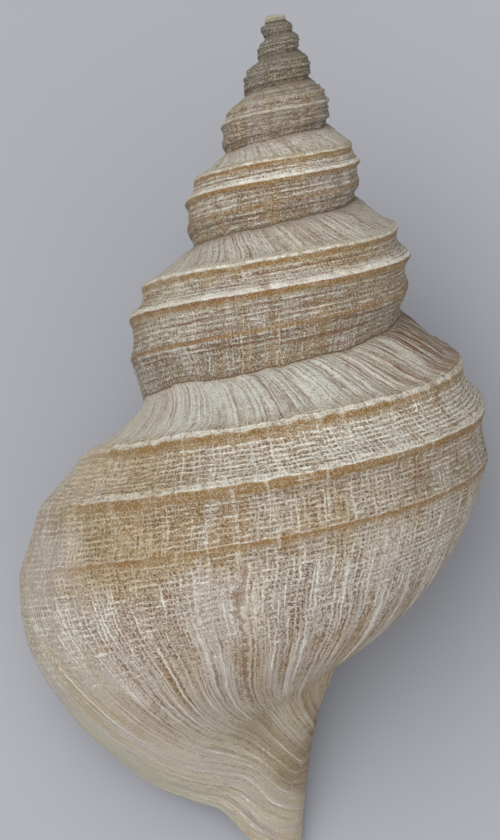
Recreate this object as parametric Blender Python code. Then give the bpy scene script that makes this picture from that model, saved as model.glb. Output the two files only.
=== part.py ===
"""A whelk shell, lying on its open side, as one hollow solid.

Sizes are millimetres, made metres at the end.  The shell is a tube that is wound round an
axis and grows by a fixed factor each turn.  A stage is an angle of growth: stage 0 is the
middle of the back on the last whorl, and the outer lip is the last stage.  The sizes in
OUTLINE are those at stage 0.
"""

import math

import bmesh
import bpy
import numpy as np
from mathutils import Matrix, Vector

MM = 0.001
WELD = 1e-6                 # metres within which two points are one
WHORL_GROWTH = 1.611        # each whorl is this much larger than the one before
RATE = math.log(WHORL_GROWTH) / (2 * math.pi)
LIP_STAGE = 125             # degrees past the middle of the back
APEX_STAGE = -2345          # where the first whorl starts
STEP = 10                   # degrees between the lines of the outside
LIP_LEAD = 20               # the lip's top runs this far ahead along the suture
SUTURE_TURN = 360 - LIP_LEAD    # a whorl's top lies on the side of the whorl this far before
FLARE_START, FLARE_END = 10, 100    # the lip widens between these stages
SHOULDER_START = -180       # and its shoulder drops from this one
FULL_STAGE, FULL_SPREAD, FULL_SHARE = -450, 90, 0.015   # one whorl is fuller on its right
HOLLOW_STAGE = -1225        # how far up the hollow is built
HOLLOW_STEP = 18
THICK_START, THICK_END, THICK_SHARE = -80, 60, 0.45    # the wall is thicker towards the lip

# One row for each point from the suture, over the shoulder, down the side and the base to the
# tip of the canal: radius from the axis, depth below the apex, and how many degrees that point
# lags behind the lip.  Then the same at the flared lip, and the wall's thickness.
OUTLINE = (
    # whorl                  # lip                     # wall
    ((21.6, 59.3, -20.0), (21.6, 59.3, -20.0), 0.5),
    ((24.3, 60.0, -15.5), (21.9, 60.2, -15.5), 0.7),
    ((27.4, 62.0, -10.0), (23.8, 62.2, -10.0), 1.0),
    ((30.2, 64.3, -6.0), (27.1, 64.5, -6.0), 1.3),
    ((32.3, 66.9, -4.0), (30.6, 67.2, -4.0), 1.5),
    ((34.3, 70.5, -2.0), (34.2, 71.0, -2.0), 1.6),
    ((35.8, 74.3, 0.0), (36.9, 75.0, 0.0), 1.6),
    ((36.4, 78.7, 0.5), (38.9, 79.8, 0.0), 1.6),
    ((36.4, 83.3, 1.0), (40.2, 84.3, 2.0), 1.6),
    ((35.6, 88.1, 1.0), (40.2, 89.1, 5.0), 1.6),
    ((33.9, 93.0, 0.0), (38.8, 93.7, 9.0), 1.6),
    ((30.8, 99.0, 0.0), (35.2, 99.2, 15.0), 1.6),
    ((27.2, 104.4, -2.0), (30.2, 104.7, 22.0), 1.6),
    ((22.8, 108.6, -4.0), (24.6, 108.9, 27.0), 1.6),
    ((17.6, 111.9, -5.0), (20.0, 111.6, 31.0), 1.6),
    ((12.6, 114.6, -4.0), (14.4, 113.4, 37.0), 1.5),
    ((9.4, 118.0, 4.0), (10.5, 114.4, 43.0), 1.4),
    ((7.0, 121.0, 22.0), (8.2, 116.6, 50.0), 1.3),
    ((5.4, 122.3, 40.0), (6.6, 118.4, 58.0), 1.2),
    ((4.3, 121.5, 65.0), (4.9, 119.7, 72.0), 1.2),
    ((3.4, 120.9, 95.0), (3.6, 120.5, 98.0), 1.4),
    ((2.2, 120.7, 125.0), (2.6, 120.5, 128.0), 1.6),
    ((1.9, 120.7, 160.0), (2.0, 120.0, 163.0), 1.5),
    ((1.3, 120.5, 200.0), (1.3, 119.7, 203.0), 0.8),
    ((0.8, 120.2, 230.0), (0.8, 120.0, 230.0), 0.25),
)
SIDE_END = 10               # the next whorl covers the rows below this one
ROW_END = len(OUTLINE) - 1
# The inner lip crosses row after row, from the suture to the canal's tip, at these stages.
INNER_LIP = (-215, -213, -207, -200, -193, -180, -160, -135, -113, -85, -48, -10, 30, 82, 125)
GLAZE = 0.35                # thickness of the inner lip's glaze
CORNER_ROW = 10.45          # the hollow's upper corner, on the whorl inside it

# Each keel: its row, its height, and its reach above and below in rows.
KEELS = ((3.95, 1.3, 0.55, 0.35), (5.85, 1.35, 0.50, 0.35), (7.85, 0.65, 0.45, 0.40))
# The keels lie lower on the older whorls, by this many rows from one stage to the next.
KEEL_DROPS = ((-150, -250, 0.15), (-500, -600, 0.25))
DROP_ROWS, DROP_SHARES = (0, 3, 8.5, 10), (0, 1, 1, 0)     # how far the rows nearby go with them
KEEL_FADE_START, KEEL_FADE_LENGTH, KEEL_FADE = 20, 80, 0.75    # they fade towards the lip
SHOULDER_END, SHOULDER_ROWS = 7, 2      # the shoulder is the rows above this one, and blends in two
SIDE_ROWS = (0, 1.2, 2.6, 3.45, 3.95, 4.45, 5.2, 5.85, 6.35, 7.85, 10)
BASE_ROWS = tuple(range(SIDE_END, ROW_END + 1))
WALL_ROWS = (1.8, 2.8, 3.95, 5.2, 6.35, 7.85, 10, 12, 14, 15, 16, 17, 18, 20, 22)
PILLAR_ROWS = (22, 20, 18, 17, 16, 15, 14, 12, 11)
THICK_ROW, THICK_ROWS = 2, 3        # the wall thickens below this row, over this many

BLUNT = 1.35                # the worn tip's width against a perfect spiral's
BLUNT_TURN = 400
TIP = (-0.9, -2.5, 0.0)     # the top of the worn tip

ROW_REACH = 0.01            # rows to each side of a point that give its slope
NORMAL_REACH, NORMAL_STAGES = 0.02, 0.5     # rows and degrees to each side that give a normal
SHARP_ANGLE = 50            # degrees between faces whose edge stays sharp

PITCH, ROLL = 21.87, 11.71   # degrees: it rests on its canal, the bulge of its body and its lip


def table(column, part):
    return np.array([row[column][part] for row in OUTLINE])


def smooth(values, at):
    """A Catmull-Rom curve through evenly spaced values, read at fractional rows."""
    values = np.asarray(values, float)
    padded = np.concatenate([[2 * values[0] - values[1]], values, [2 * values[-1] - values[-2]]])
    low = np.clip(np.floor(at), 0, len(values) - 2).astype(int)
    t = at - low
    a, b, c, d = (padded[low + k] for k in range(4))
    return b + 0.5 * t * (c - a + t * (2 * a - 5 * b + 4 * c - d + t * (3 * (b - c) + d - a)))


def ease(x):
    x = np.clip(x, 0, 1)
    return x * x * (3 - 2 * x)


def growth(stage):
    return np.exp(RATE * np.radians(stage))


def outline(stage, row):
    """Radius, depth and lag of the shell's outer surface, before growth is applied."""
    shoulder = ease((SHOULDER_END - row) / SHOULDER_ROWS)
    start = FLARE_START * (1 - shoulder) + SHOULDER_START * shoulder
    flare = ease((stage - start) / (FLARE_END - start))
    got = []
    for part in range(3):
        whorl, lip = table(0, part), table(1, part)
        whorl[0] = lip[0] = -LIP_LEAD if part == 2 else whorl[SIDE_END] * growth(-SUTURE_TURN)
        got.append(smooth(whorl, row) * (1 - flare) + smooth(lip, row) * flare)
    return got


def keel_drop(stage):
    return sum(drop * ease((start - stage) / (start - end)) for start, end, drop in KEEL_DROPS)


def lowered(stage, row):
    """Rows of the last whorl moved down with the keels of an older one."""
    return row + keel_drop(stage) * np.interp(row, DROP_ROWS, DROP_SHARES)


def keel_height(stage, row):
    height = np.zeros(np.shape(row))
    row = row - keel_drop(stage)
    for centre, tall, above, below in KEELS:
        reach = np.where(row < centre, above, below)
        height = height + tall * np.exp(-((row - centre) / reach) ** 2)
    return height * (1 - KEEL_FADE * ease((stage - KEEL_FADE_START) / KEEL_FADE_LENGTH))


def surface(stage, row):
    """Points of the outer surface.  X is right and Y up as seen from the back, and Z is towards
    the back, with the axis along Y and the apex at the origin."""
    stage, row = np.broadcast_arrays(np.asarray(stage, float), np.asarray(row, float))
    radius, depth, lag = outline(stage, row)
    r1, d1, _ = outline(stage, np.minimum(row + ROW_REACH, ROW_END))
    r0, d0, _ = outline(stage, np.maximum(row - ROW_REACH, 0))
    slope = np.hypot(r1 - r0, d1 - d0)
    height = keel_height(stage, row)
    radius = radius + height * (d1 - d0) / slope
    depth = depth + height * (r0 - r1) / slope
    inside = SUTURE_TURN * np.clip(1 - row / SIDE_END, 0, 1)
    radius = radius * (BLUNT + (1 - BLUNT) * ease((stage - inside - APEX_STAGE) / BLUNT_TURN))
    fullness = FULL_SHARE * np.clip(np.minimum(row, SIDE_END - row) / 2, 0, 1)
    radius = radius * (1 + fullness * np.exp(-(((stage - FULL_STAGE) / FULL_SPREAD) ** 2)))
    size = growth(stage)
    turn = np.radians(stage - lag)
    x, z = -radius * np.sin(turn), radius * np.cos(turn)
    return np.stack([x, -depth, z], axis=-1) * size[..., None]


def outward(stage, row):
    """Unit normals of the outer surface, pointing out of the whorl."""
    low, high = np.maximum(row - NORMAL_REACH, 0), np.minimum(row + NORMAL_REACH, ROW_END)
    along = surface(stage + NORMAL_STAGES, row) - surface(stage - NORMAL_STAGES, row)
    across = surface(stage, high) - surface(stage, low)
    normal = np.cross(along, across)
    return normal / np.linalg.norm(normal, axis=-1, keepdims=True)


def inner_face(stage, row):
    """The hollow's side of the wall."""
    late = ease((stage - THICK_START) / (THICK_END - THICK_START))
    thicker = 1 + THICK_SHARE * late * ease((row - THICK_ROW) / THICK_ROWS)
    wall = smooth([line[2] for line in OUTLINE], row) * thicker * growth(stage)
    return surface(stage, row) - wall[..., None] * outward(stage, row)


def glazed(stage, row):
    """The hollow's other side: the glaze on the whorl and the pillar inside it."""
    laid = stage - LIP_STAGE + smooth(INNER_LIP, row - SIDE_END)
    glaze = GLAZE * growth(stage)
    return surface(laid, row) + glaze[..., None] * outward(laid, row)


def hollow_loops(stages):
    """The hollow's section at each stage: from its upper corner down the wall's inner face to
    the canal's tip, and up the pillar."""
    stage, row = np.meshgrid(stages, np.array(WALL_ROWS, float), indexing="ij")
    wall_side = inner_face(stage, lowered(stage, row))
    stage, row = np.meshgrid(stages, np.array(PILLAR_ROWS, float), indexing="ij")
    pillar_side = glazed(stage, row)
    corner = glazed(stages, np.full(len(stages), CORNER_ROW))[:, None]
    canal = surface(stages, np.full(len(stages), float(ROW_END)))[:, None]
    return np.concatenate([corner, wall_side, canal, pillar_side], axis=1)


def add_sheet(bm, points, closed=False):
    """Quads through a grid of points, one line of points for each stage."""
    lines = [[bm.verts.new(point * MM) for point in line] for line in points]
    for line, following in zip(lines, lines[1:]):
        count = len(line)
        for k in range(count if closed else count - 1):
            after = (k + 1) % count
            bm.faces.new((line[k], following[k], following[after], line[after]))
    return lines


def add_rim(bm, outer, outer_at, inner, inner_at):
    """Triangles between two closed loops whose points are spaced by the given places."""
    i = j = 0
    while i < len(outer) or j < len(inner):
        a, b = outer[i % len(outer)], inner[j % len(inner)]
        if j == len(inner) or (i < len(outer) and outer_at[i + 1] <= inner_at[j + 1]):
            bm.faces.new((a, b, outer[(i + 1) % len(outer)]))
            i += 1
        else:
            bm.faces.new((a, b, inner[(j + 1) % len(inner)]))
            j += 1


def add_fan(bm, loop, centre):
    tip = bm.verts.new(centre)
    for k, vert in enumerate(loop):
        bm.faces.new((tip, vert, loop[(k + 1) % len(loop)]))


def build_shell():
    bm = bmesh.new()
    stages = np.arange(APEX_STAGE, LIP_STAGE + 1, STEP, dtype=float)
    stage, row = np.meshgrid(stages, np.array(SIDE_ROWS, float), indexing="ij")
    side = add_sheet(bm, surface(stage, lowered(stage, row)))
    first_turn = SUTURE_TURN // STEP
    loop = [line[0] for line in side[:first_turn]] + side[0][:0:-1]
    add_fan(bm, loop[::-1], Vector(TIP) * MM)

    base_rows = np.array(BASE_ROWS, float)
    share = np.linspace(0, 1, first_turn + 1)[:, None]
    started = np.array(INNER_LIP, float)
    base = add_sheet(bm, surface(started + share * (LIP_STAGE - started), base_rows[None, :]))

    hollow_stages = np.arange(HOLLOW_STAGE, LIP_STAGE + 1, HOLLOW_STEP, dtype=float)
    hollow = add_sheet(bm, hollow_loops(hollow_stages), closed=True)
    rim = side[-1] + base[-1][1:] + base[0][-2:0:-1]
    back = 2 * ROW_END
    rim_at = SIDE_ROWS + BASE_ROWS[1:] + tuple(back - row for row in BASE_ROWS[-2:0:-1])
    hollow_at = (0,) + WALL_ROWS + (ROW_END,) + tuple(back - row for row in PILLAR_ROWS)
    whole = back - SIDE_END
    add_rim(bm, rim, rim_at + (whole,), hollow[-1], hollow_at + (whole,))
    end = hollow[0]
    centre = sum((vert.co for vert in end), Vector()) / len(end)
    add_fan(bm, end, centre)

    bmesh.ops.remove_doubles(bm, verts=bm.verts, dist=WELD)
    bmesh.ops.dissolve_degenerate(bm, edges=bm.edges, dist=WELD)
    bmesh.ops.recalc_face_normals(bm, faces=bm.faces)
    return bm


def lay_down(bm):
    """Lays the shell on its open side, with its foot on Z 0 and its box centred on the origin."""
    turn = Matrix.Rotation(math.radians(PITCH), 4, "X") @ Matrix.Rotation(math.radians(ROLL), 4, "Y")
    bm.transform(turn)
    low = [min(vert.co[axis] for vert in bm.verts) for axis in range(3)]
    high = [max(vert.co[axis] for vert in bm.verts) for axis in range(3)]
    middle = (-(low[0] + high[0]) / 2, -(low[1] + high[1]) / 2, -low[2])
    bm.transform(Matrix.Translation(middle))


def shell_material():
    material = bpy.data.materials.new("shell")
    material.use_nodes = True
    finish = material.node_tree.nodes["Principled BSDF"]
    finish.inputs["Base Color"].default_value = (0.62, 0.50, 0.36, 1)
    finish.inputs["Roughness"].default_value = 0.6
    finish.inputs["Metallic"].default_value = 0
    return material


def main():
    for item in list(bpy.data.objects):
        bpy.data.objects.remove(item, do_unlink=True)
    bm = build_shell()
    lay_down(bm)
    mesh = bpy.data.meshes.new("shell")
    bm.to_mesh(mesh)
    bm.free()
    mesh.shade_smooth()
    mesh.set_sharp_from_angle(angle=math.radians(SHARP_ANGLE))
    mesh.materials.append(shell_material())
    bpy.context.scene.collection.objects.link(bpy.data.objects.new("shell", mesh))


main()
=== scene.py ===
"""A whelk shell, lying on its open side on a pale floor and seen from above its back.

The shell is a tube wound round an axis that grows by a fixed factor each turn.  Sizes are
millimetres in the shell's own frame: X is right and Y is up as seen from the back, Z is towards
the back, and the apex is at the origin.  A stage is an angle of growth in degrees: stage 0 is
the middle of the back on the last whorl.  A row counts points down the whorl's outline, from
the suture at row 0 to the tip of the canal.
"""

import math

import bpy
import numpy as np
from mathutils import Matrix, Vector


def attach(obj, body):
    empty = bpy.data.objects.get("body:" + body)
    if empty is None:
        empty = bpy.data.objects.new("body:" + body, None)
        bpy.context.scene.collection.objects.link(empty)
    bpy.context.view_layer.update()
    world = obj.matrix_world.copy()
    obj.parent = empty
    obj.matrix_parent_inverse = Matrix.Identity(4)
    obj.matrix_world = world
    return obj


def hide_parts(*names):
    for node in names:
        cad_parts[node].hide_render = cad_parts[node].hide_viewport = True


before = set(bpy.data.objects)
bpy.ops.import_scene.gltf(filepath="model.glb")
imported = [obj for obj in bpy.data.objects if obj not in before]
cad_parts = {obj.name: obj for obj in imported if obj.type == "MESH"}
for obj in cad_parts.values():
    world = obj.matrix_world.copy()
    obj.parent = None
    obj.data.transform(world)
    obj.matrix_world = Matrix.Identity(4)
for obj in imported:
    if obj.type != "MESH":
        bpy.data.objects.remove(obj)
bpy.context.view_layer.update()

MM = 0.001
WELD = 2e-6                 # metres within which two points are one

# The whorl and its growth
WHORL_GROWTH = 1.611        # each whorl is this much larger than the one before
RATE = math.log(WHORL_GROWTH) / (2 * math.pi)
LIP_STAGE = 125             # degrees past the middle of the back
APEX_STAGE = -2345          # where the first whorl starts
LIP_LEAD = 20               # the lip's top runs this far ahead along the suture
SUTURE_TURN = 360 - LIP_LEAD    # a whorl's top lies on the side of the whorl this far before
FREE_STAGE = LIP_STAGE - SUTURE_TURN    # from here on, no later whorl covers the base
FLARE_START, FLARE_END = 10, 100    # the lip widens between these stages
SHOULDER_START = -180       # and its shoulder drops from this one
FULL_STAGE, FULL_SPREAD, FULL_SHARE = -450, 90, 0.015   # one whorl is fuller on its right
HOLLOW_STAGE = -1225        # how far up the hollow is built
THICK_START, THICK_END, THICK_SHARE = -80, 60, 0.45    # the wall is thicker towards the lip
KEEL_RADIUS = 36.4          # the widest part of the whorl at stage 0
ARC = KEEL_RADIUS / RATE    # length grown along the keel by stage 0

# One row for each point from the suture, over the shoulder, down the side and the base to the
# tip of the canal: radius from the axis, depth below the apex, and how many degrees that point
# lags behind the lip.  Then the same at the flared lip, and the wall's thickness.
OUTLINE = (
    # whorl                  # lip                     # wall
    ((21.6, 59.3, -20.0), (21.6, 59.3, -20.0), 0.5),
    ((24.3, 60.0, -15.5), (21.9, 60.2, -15.5), 0.7),
    ((27.4, 62.0, -10.0), (23.8, 62.2, -10.0), 1.0),
    ((30.2, 64.3, -6.0), (27.1, 64.5, -6.0), 1.3),
    ((32.3, 66.9, -4.0), (30.6, 67.2, -4.0), 1.5),
    ((34.3, 70.5, -2.0), (34.2, 71.0, -2.0), 1.6),
    ((35.8, 74.3, 0.0), (36.9, 75.0, 0.0), 1.6),
    ((36.4, 78.7, 0.5), (38.9, 79.8, 0.0), 1.6),
    ((36.4, 83.3, 1.0), (40.2, 84.3, 2.0), 1.6),
    ((35.6, 88.1, 1.0), (40.2, 89.1, 5.0), 1.6),
    ((33.9, 93.0, 0.0), (38.8, 93.7, 9.0), 1.6),
    ((30.8, 99.0, 0.0), (35.2, 99.2, 15.0), 1.6),
    ((27.2, 104.4, -2.0), (30.2, 104.7, 22.0), 1.6),
    ((22.8, 108.6, -4.0), (24.6, 108.9, 27.0), 1.6),
    ((17.6, 111.9, -5.0), (20.0, 111.6, 31.0), 1.6),
    ((12.6, 114.6, -4.0), (14.4, 113.4, 37.0), 1.5),
    ((9.4, 118.0, 4.0), (10.5, 114.4, 43.0), 1.4),
    ((7.0, 121.0, 22.0), (8.2, 116.6, 50.0), 1.3),
    ((5.4, 122.3, 40.0), (6.6, 118.4, 58.0), 1.2),
    ((4.3, 121.5, 65.0), (4.9, 119.7, 72.0), 1.2),
    ((3.4, 120.9, 95.0), (3.6, 120.5, 98.0), 1.4),
    ((2.2, 120.7, 125.0), (2.6, 120.5, 128.0), 1.6),
    ((1.9, 120.7, 160.0), (2.0, 120.0, 163.0), 1.5),
    ((1.3, 120.5, 200.0), (1.3, 119.7, 203.0), 0.8),
    ((0.8, 120.2, 230.0), (0.8, 120.0, 230.0), 0.25),
)
SIDE_END = 10               # the next whorl covers the rows below this one
ROW_END = len(OUTLINE) - 1
# The inner lip crosses row after row, from the suture to the canal's tip, at these stages.
INNER_LIP = (-215, -213, -207, -200, -193, -180, -160, -135, -113, -85, -48, -10, 30, 82, 125)
GLAZE = 0.35                # thickness of the inner lip's glaze
CORNER_ROW = 10.45          # the hollow's upper corner, on the whorl inside it
WALL_TOP, WALL_BOTTOM, PILLAR_TOP = 1.8, 22, 11    # rows where the hollow's faces end

# Each keel: its row, its height, and its reach above and below in rows.
KEELS = ((3.95, 1.3, 0.55, 0.35), (5.85, 1.35, 0.50, 0.35), (7.85, 0.65, 0.45, 0.40))
# The keels lie lower on the older whorls, by this many rows from one stage to the next.
KEEL_DROPS = ((-150, -250, 0.15), (-500, -600, 0.25))
# Rounded cords that only the young whorls carry: row, height and reach.
CORDS = ((1.7, 0.3, 0.30), (2.9, 0.4, 0.30), (5.1, 0.6, 0.22), (7.3, 0.7, 0.25), (8.8, 0.6, 0.22))
# Shallow furrows between the keels of every whorl but the last: row, depth and reach.
FURROWS = ((2.3, 0.8, 1.2), (5.05, 0.8, 0.60), (7.3, 1.0, 0.70), (9.2, 0.6, 0.60))

BLUNT = 1.35                # the worn tip's width against a perfect spiral's
BLUNT_TURN = 400
TIP = (-0.8, -2.1, 0.1)     # the top of the worn tip
TIP_LEAN, TIP_TURN = 0.5, 300      # the first turn leans left
TIP_WIDTH = 1.06
TIP_RINGS = (0.18, 0.36, 0.54, 0.70, 0.84, 0.94)   # shares of its height
TIP_ROUNDNESS = 8           # how blunt its dome is
TIP_LUMP_COUNT = 8          # lumps round it
TIP_ROW = 3.0               # the row whose colour it takes

# Stretches of growth, finer as the shell gets larger: first stage, degrees a step, rows
STRETCHES = ((APEX_STAGE, 4, 40), (-1673, 3, 48), (-1313, 2.5, 56), (-953, 2, 62),
             (-595, 1.5, 74), (-235, 1.25, 92))
BASE_ROW_COUNT, WALL_ROW_COUNT, PILLAR_ROW_COUNT = 50, 26, 12
HOLLOW_STEP = 9
LIP_ROUNDING = (0.12, 0.3, 0.5, 0.7, 0.88)     # shares of the lip's thickness
LIP_BULGE = 0.35            # how far the lip's edge is rounded, as a share of its thickness

# Unevenness: how strong it is, over what length and over how many rows it changes once, and
# its seed
KEEL_WANDER = (0.07, 14, 1, 3)
KEEL_SWELLS = (0.14, 5, 1, 4)
KEEL_NICKS = (0.14, 1.8, 1, 5)
CORD_BUMPS = (0.45, 1.5, 1, 6)
FINE_WRINKLES = (0.12, 1.5, 5, 7)
BROAD_WRINKLES = (0.12, 4, 4, 8)
SWELLINGS = (0.22, 13, 2.2, 9)
HALT_WAVER = (1.5, 1.2, 1, 10)
SUTURE_SWAY = (0.45, 11, 1, 11)
SUTURE_RIPPLE = (0.22, 3.5, 1, 12)
TIP_LUMPS = (0.14, 1, 1, 13)
SUTURE_REACH = 1.5          # rows to each side that follow the suture's waves
# The ridge where growth stopped: stage and row it crosses, degrees a row, height and half width
HALT_STAGE, HALT_ROW, HALT_SLANT, HALT_HEIGHT, HALT_WIDTH = 52, 4.4, 3, 0.55, 2.2
HALT_TOP, HALT_TOP_FADE = 3, 1.2
# Relief starts and ends over this many rows at a suture and at the canal's tip, and over this
# many degrees at the first whorl and where the base comes free
SUTURE_FADE, CANAL_TIP_FADE, FIRST_FADE, FREE_FADE = 0.7, 1.5, 60, 15

# How the shell lies: turned about X and then about its own length, and then moved
PITCH, ROLL = 21.87, 11.71
PLACE = (6.33, 67.72, 53.76)
TURN = Matrix.Rotation(math.radians(PITCH), 4, "X") @ Matrix.Rotation(math.radians(ROLL), 4, "Y")
LAID = Matrix.Translation(Vector(PLACE) * MM) @ TURN


def table(column, part):
    return np.array([row[column][part] for row in OUTLINE])


def smooth(values, at):
    """A Catmull-Rom curve through evenly spaced values, read at fractional rows."""
    values = np.asarray(values, float)
    padded = np.concatenate([[2 * values[0] - values[1]], values, [2 * values[-1] - values[-2]]])
    low = np.clip(np.floor(at), 0, len(values) - 2).astype(int)
    t = at - low
    a, b, c, d = (padded[low + k] for k in range(4))
    return b + 0.5 * t * (c - a + t * (2 * a - 5 * b + 4 * c - d + t * (3 * (b - c) + d - a)))


def ease(x):
    x = np.clip(x, 0, 1)
    return x * x * (3 - 2 * x)


def fade(value, start, end):
    """0 at start, 1 at end, and smooth between them."""
    return ease((value - start) / (end - start))


def ridge(x):
    return np.exp(-x * x)


def growth(stage):
    return np.exp(RATE * np.radians(stage))


def arc(stage):
    """Millimetres grown along the keel by a stage."""
    return ARC * growth(stage)


def uneven(u, v, seed):
    """Smooth random values between -1 and 1, which change once per unit of u and v."""
    size = 512
    grid = np.random.RandomState(seed).uniform(-1, 1, (size, size))
    u, v = np.broadcast_arrays(np.asarray(u, float), np.asarray(v, float))
    left, low = np.floor(u).astype(int), np.floor(v).astype(int)
    across, up = ease(u - left), ease(v - low)

    def corner(a, b):
        return grid[(left + a) % size, (low + b) % size]

    lower = corner(0, 0) * (1 - across) + corner(1, 0) * across
    upper = corner(0, 1) * (1 - across) + corner(1, 1) * across
    return lower * (1 - up) + upper * up


def waves(kind, u, v=0):
    """One kind of unevenness at a place."""
    strength, u_length, v_length, seed = kind
    return strength * uneven(u / u_length, v / v_length, seed)


def outline(stage, row):
    """Radius, depth and lag of the shell's outer surface, before growth is applied."""
    shoulder = fade(row, 7, 5)
    start = FLARE_START * (1 - shoulder) + SHOULDER_START * shoulder
    flare = fade(stage, start, FLARE_END)
    got = []
    for part in range(3):
        whorl, lip = table(0, part), table(1, part)
        whorl[0] = lip[0] = -LIP_LEAD if part == 2 else whorl[SIDE_END] * growth(-SUTURE_TURN)
        got.append(smooth(whorl, row) * (1 - flare) + smooth(lip, row) * flare)
    return got


def keel_drop(stage):
    return sum(drop * fade(stage, start, end) for start, end, drop in KEEL_DROPS)


def keel_relief(stage, row, worn):
    """The keels, whose crests rise and fall and wander a little where they are worn."""
    height = np.zeros(np.shape(row))
    grown = arc(stage)
    row = row - keel_drop(stage)
    for number, (centre, tall, above, below) in enumerate(KEELS):
        if worn:
            centre = centre + waves(KEEL_WANDER, grown, number)
            swells, nicks = waves(KEEL_SWELLS, grown, number), waves(KEEL_NICKS, grown, number)
            tall = tall * (1 + swells + nicks)
        reach = np.where(row < centre, above, below)
        height = height + tall * ridge((row - centre) / reach)
    if worn:
        height = height * (1 + 0.12 * fade(stage, -250, -550))
    return height * (1 - 0.75 * fade(stage, 20, 100))


def furrow_depth(stage, row):
    depth = sum(depth * ridge((row - centre) / reach) for centre, depth, reach in FURROWS)
    return depth * fade(stage, -200, -350) * (1 + 0.8 * fade(stage, -800, -1200))


def cord_relief(stage, row):
    """Cords and furrows of the young whorls, with bumps along them, which fade on the last one."""
    grown = arc(stage)
    cords = 0
    for number, (centre, tall, reach) in enumerate(CORDS):
        bumps = 1 + waves(CORD_BUMPS, grown, number)
        cords = cords + tall * bumps * ridge((row - centre) / reach)
    cords = cords * fade(stage, -330, -730) * (1 + 1.6 * fade(stage, -750, -1250))
    return cords - furrow_depth(stage, row)


def growth_relief(stage, row):
    """Wrinkles along earlier lips, broad swellings, and the ridge where growth once stopped."""
    grown = arc(stage)
    ramp = fade(row, 4, 2.5)
    canal = fade(row, 13, 15) * fade(row, 21, 19)
    wrinkles = waves(FINE_WRINKLES, grown, row) + waves(BROAD_WRINKLES, grown, row)
    wrinkles = wrinkles * (1 + 0.8 * ramp + 1.6 * canal)
    swellings = waves(SWELLINGS, grown, row)
    crossing = stage - HALT_STAGE - HALT_SLANT * (row - HALT_ROW) - waves(HALT_WAVER, row)
    halt = HALT_HEIGHT * ridge(crossing / HALT_WIDTH)
    halt = halt * ease((row - HALT_TOP) / HALT_TOP_FADE) * fade(row, 12, 9)
    return wrinkles + swellings + halt


def relief(stage, row):
    """All that stands above the smooth whorl, in millimetres at stage 0."""
    height = cord_relief(stage, row) + growth_relief(stage, row)
    free = ease((stage - FREE_STAGE) / FREE_FADE)
    above_seam = np.maximum(ease((SIDE_END - row) / SUTURE_FADE), free)
    at_suture = ease(row / SUTURE_FADE) * above_seam
    at_tip = ease((ROW_END - row) / CANAL_TIP_FADE)
    started = ease((stage - APEX_STAGE) / FIRST_FADE)
    return height * at_suture * at_tip * started + keel_relief(stage, row, True)


def suture_wave(stage):
    """How far the suture strays along the axis, in millimetres at stage 0."""
    grown = arc(stage)
    wave = waves(SUTURE_SWAY, grown) + waves(SUTURE_RIPPLE, grown)
    return wave * fade(stage, 100, 60) * ease((stage - APEX_STAGE - SUTURE_TURN) / FIRST_FADE)


def surface(stage, row, worn=True):
    """Points of the outer surface, with all its relief or with the keels alone."""
    stage, row = np.broadcast_arrays(np.asarray(stage, float), np.asarray(row, float))
    radius, depth, lag = outline(stage, row)
    reach = 0.01
    r1, d1, _ = outline(stage, np.minimum(row + reach, ROW_END))
    r0, d0, _ = outline(stage, np.maximum(row - reach, 0))
    slope = np.hypot(r1 - r0, d1 - d0)
    height = relief(stage, row) if worn else keel_relief(stage, row, False)
    radius = radius + height * (d1 - d0) / slope
    depth = depth + height * (r0 - r1) / slope
    inside = SUTURE_TURN * np.clip(1 - row / SIDE_END, 0, 1)
    from_tip = stage - inside - APEX_STAGE
    radius = radius * (BLUNT + (1 - BLUNT) * ease(from_tip / BLUNT_TURN))
    fullness = FULL_SHARE * np.clip(np.minimum(row, SIDE_END - row) / 2, 0, 1)
    radius = radius * (1 + fullness * ridge((stage - FULL_STAGE) / FULL_SPREAD))
    size = growth(stage)
    turn = np.radians(stage - lag)
    x, z = -radius * np.sin(turn), radius * np.cos(turn)
    points = np.stack([x, -depth, z], axis=-1) * size[..., None]
    if worn:
        points[..., 0] -= TIP_LEAN * (1 - ease(from_tip / TIP_TURN))
        later = stage + SUTURE_TURN
        points[..., 1] += suture_wave(stage) * size * (1 - ease(row / SUTURE_REACH))
        covered = ease((row - SIDE_END + SUTURE_REACH) / SUTURE_REACH)
        covered = covered * (1 - ease((row - SIDE_END) / SUTURE_REACH))
        points[..., 1] += suture_wave(later) * growth(later) * covered
    return points


def outward(stage, row):
    """Unit normals of the outer surface, pointing out of the whorl."""
    reach = 0.02
    low, high = np.maximum(row - reach, 0), np.minimum(row + reach, ROW_END)
    along = surface(stage + 0.5, row, False) - surface(stage - 0.5, row, False)
    across = surface(stage, high, False) - surface(stage, low, False)
    normal = np.cross(along, across)
    return normal / np.linalg.norm(normal, axis=-1, keepdims=True)


def inner_face(stage, row):
    """The hollow's side of the wall."""
    late = fade(stage, THICK_START, THICK_END)
    thicker = 1 + THICK_SHARE * late * fade(row, 2, 5)
    wall = smooth([line[2] for line in OUTLINE], row) * thicker + furrow_depth(stage, row)
    wall = wall * growth(stage)
    return surface(stage, row, False) - wall[..., None] * outward(stage, row)


def glazed(stage, row):
    """The hollow's other side: the glaze on the whorl and the pillar inside it."""
    laid = stage - LIP_STAGE + smooth(INNER_LIP, row - SIDE_END)
    glaze = GLAZE * growth(stage)
    return surface(laid, row, False) + glaze[..., None] * outward(laid, row)


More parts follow.
